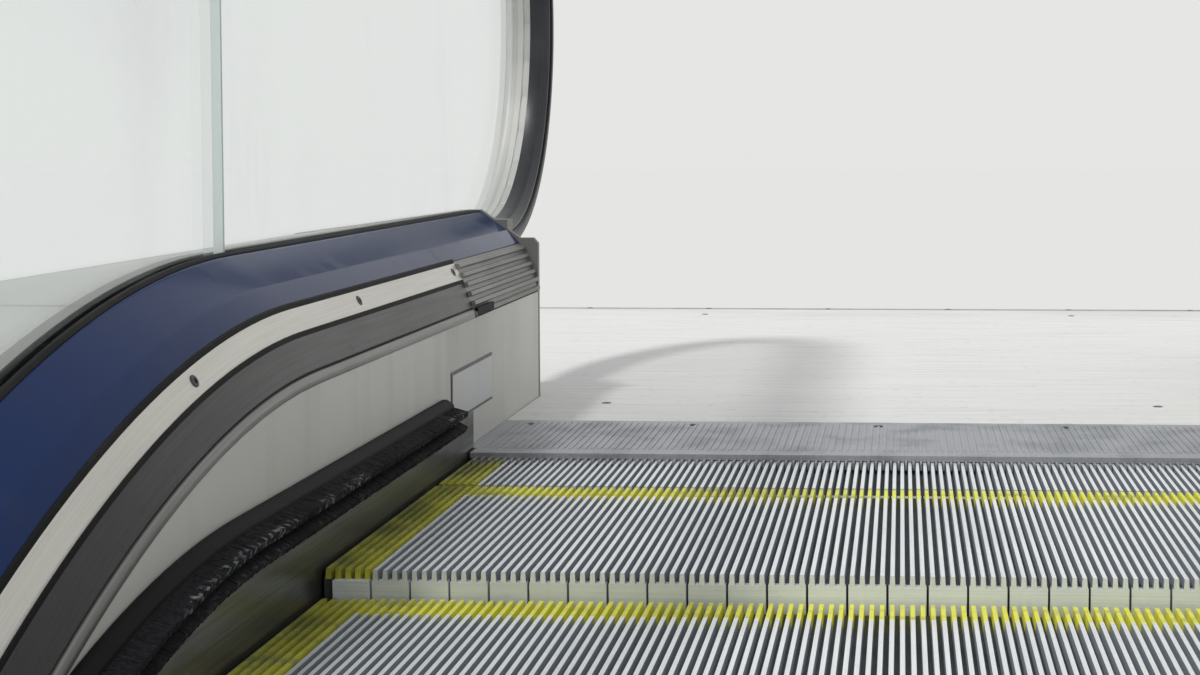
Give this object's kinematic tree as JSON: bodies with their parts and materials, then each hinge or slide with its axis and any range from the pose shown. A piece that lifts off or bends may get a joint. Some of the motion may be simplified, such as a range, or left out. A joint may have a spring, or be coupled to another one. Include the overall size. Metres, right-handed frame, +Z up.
{
  "type": "escalator",
  "caption": "Escalator with glass balustrades, grooved steps, comb plates, moving-handrail loops and flush landings, standing on its base and an upper support frame.",
  "frame": {"origin": "on the floor, below the middle of the machine's bounding box", "axes": "+X up the slope along the direction of travel, +Y across towards the left balustrade of someone riding up, +Z up"},
  "size_m": [10.4404, 1.76, 3.9069],
  "materials": {
    "landing_plate": "brushed, weathered pale",
    "comb": "cast, worn",
    "step": "die cast with grooves, yellow edges",
    "skirt": "satin with a dark sliding coat",
    "bristle": "two rows of black bristles",
    "inner_panel": "satin warm grey",
    "inner_deck": "dark brushed",
    "upper_deck": "gloss dark blue",
    "clamp_strip": "satin, screwed",
    "glass": "clear, polished edges",
    "guide": "polished",
    "handrail": "glossy black",
    "outer_deck": "satin dark grey",
    "cladding": "satin dark grey",
    "moulding": "fine grain black",
    "structure": "primed grey"
  },
  "bodies": {
    "root": {"lower_floor_plate": "landing_plate", "upper_floor_plate": "landing_plate", "lower_comb_plate": "comb", "upper_comb_plate": "comb", "lower_floor_frame": "structure", "upper_floor_frame": "structure", "step_01": "step", "step_02": "step", "step_03": "step", "step_04": "step", "step_05": "step", "step_06": "step", "step_07": "step", "step_08": "step", "step_09": "step", "step_10": "step", "step_11": "step", "step_12": "step", "step_13": "step", "step_14": "step", "step_15": "step", "step_16": "step", "step_17": "step", "step_18": "step", "step_19": "step", "left_skirt": "skirt", "right_skirt": "skirt", "skirt_brushes": "bristle", "left_inner_panel": "inner_panel", "right_inner_panel": "inner_panel", "left_inner_deck": "inner_deck", "right_inner_deck": "inner_deck", "left_upper_deck": "upper_deck", "right_upper_deck": "upper_deck", "glass_clamps": "clamp_strip", "glass_channels": "structure", "left_glass": "glass", "right_glass": "glass", "handrail_guides": "guide", "left_handrail": "handrail", "right_handrail": "handrail", "left_outer_deck": "outer_deck", "right_outer_deck": "outer_deck", "left_cladding": "cladding", "right_cladding": "cladding", "newel_caps": "moulding", "soffit": "cladding", "end_panels": "cladding", "left_truss": "structure", "right_truss": "structure", "brackets": "structure", "step_tracks": "structure", "upper_support": "structure"}
  },
  "joints": []
}
